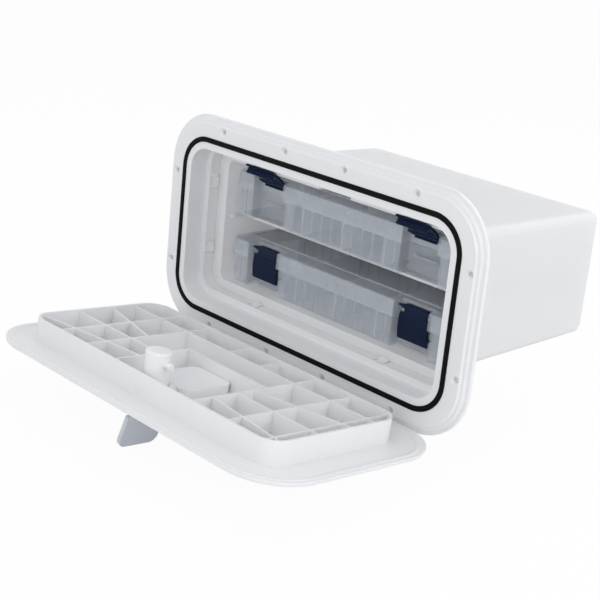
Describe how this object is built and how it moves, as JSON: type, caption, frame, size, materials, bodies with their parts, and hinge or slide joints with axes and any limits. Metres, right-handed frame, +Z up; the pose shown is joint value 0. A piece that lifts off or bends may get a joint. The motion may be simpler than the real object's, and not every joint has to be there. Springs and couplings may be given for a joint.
{
  "type": "built-in tackle box",
  "caption": "Flush-mounted tackle box with a sealed drop-down door, a lift-and-turn latch and lidded trays that slide out.",
  "frame": {"origin": "centre of the flange's back face, where the box is screwed to a wall, in line with the seal's centre", "axes": "+X to the right seen from the front, +Y into the wall towards the casing's back, +Z up"},
  "size_m": [0.3914, 0.4496, 0.2472],
  "materials": {
    "frame_plastic": "fine satin",
    "casing_plastic": "satin",
    "door_plastic": "fine satin",
    "seal_rubber": "matte",
    "latch_plastic": "satin",
    "pin_steel": "drawn",
    "tray_clear": "clear, lightly frosted",
    "tray_latch_plastic": "satin"
  },
  "bodies": {
    "frame": {"flange_frame": "frame_plastic", "seal_ring": "seal_rubber", "rear_casing": "casing_plastic", "tray_shelf": "casing_plastic", "hinge_pins": "pin_steel"},
    "door": {"door_panel": "door_plastic"},
    "latch": {"latch_rotor": "latch_plastic", "latch_drum": "latch_plastic", "latch_peg": "latch_plastic", "flap_pin": "pin_steel"},
    "flap": {"pull_flap": "latch_plastic"},
    "upper_tray": {"upper_tray_base": "tray_clear", "upper_tray_lid": "tray_clear", "upper_tray_dividers": "tray_clear", "upper_lid_pins": "pin_steel"},
    "upper_left_latch": {"upper_latch_left": "tray_latch_plastic"},
    "upper_right_latch": {"upper_latch_right": "tray_latch_plastic"},
    "lower_tray": {"lower_tray_base": "tray_clear", "lower_tray_lid": "tray_clear", "lower_tray_dividers": "tray_clear", "lower_lid_pins": "pin_steel"},
    "lower_left_latch": {"lower_latch_left": "tray_latch_plastic"},
    "lower_right_latch": {"lower_latch_right": "tray_latch_plastic"}
  },
  "joints": [
    {"name": "door_hinge", "type": "hinge", "parent": "frame", "child": "door", "pos_m": [0, -0.0113, -0.1041], "axis": [1, 0, 0], "range_deg": [-85, 0]},
    {"name": "latch_turn", "type": "hinge", "parent": "door", "child": "latch", "pos_m": [0, -0.16952, -0.08825], "axis": [0, 0.0872, 0.9962], "range_deg": [-90, 0]},
    {"name": "flap_lift", "type": "hinge", "parent": "latch", "child": "flap", "pos_m": [0, -0.16974, -0.09074], "axis": [0, -0.9962, 0.0872], "range_deg": [-56, 0]},
    {"name": "upper_tray_slide", "type": "slide", "parent": "frame", "child": "upper_tray", "axis": [0, -1, 0], "range_m": [0, 0.15]},
    {"name": "upper_left_latch_swing", "type": "hinge", "parent": "upper_tray", "child": "upper_left_latch", "pos_m": [-0.0924, 0.038, 0.0476], "axis": [-1, 0, 0], "range_deg": [-125, 0]},
    {"name": "upper_right_latch_swing", "type": "hinge", "parent": "upper_tray", "child": "upper_right_latch", "pos_m": [0.0986, 0.038, 0.0476], "axis": [-1, 0, 0], "range_deg": [-125, 0]},
    {"name": "lower_tray_slide", "type": "slide", "parent": "frame", "child": "lower_tray", "axis": [0, -1, 0], "range_m": [0, 0.15]},
    {"name": "lower_left_latch_swing", "type": "hinge", "parent": "lower_tray", "child": "lower_left_latch", "pos_m": [-0.0924, 0.038, -0.0199], "axis": [-1, 0, 0], "range_deg": [0, 125]},
    {"name": "lower_right_latch_swing", "type": "hinge", "parent": "lower_tray", "child": "lower_right_latch", "pos_m": [0.0986, 0.038, -0.0199], "axis": [-1, 0, 0], "range_deg": [0, 125]}
  ]
}
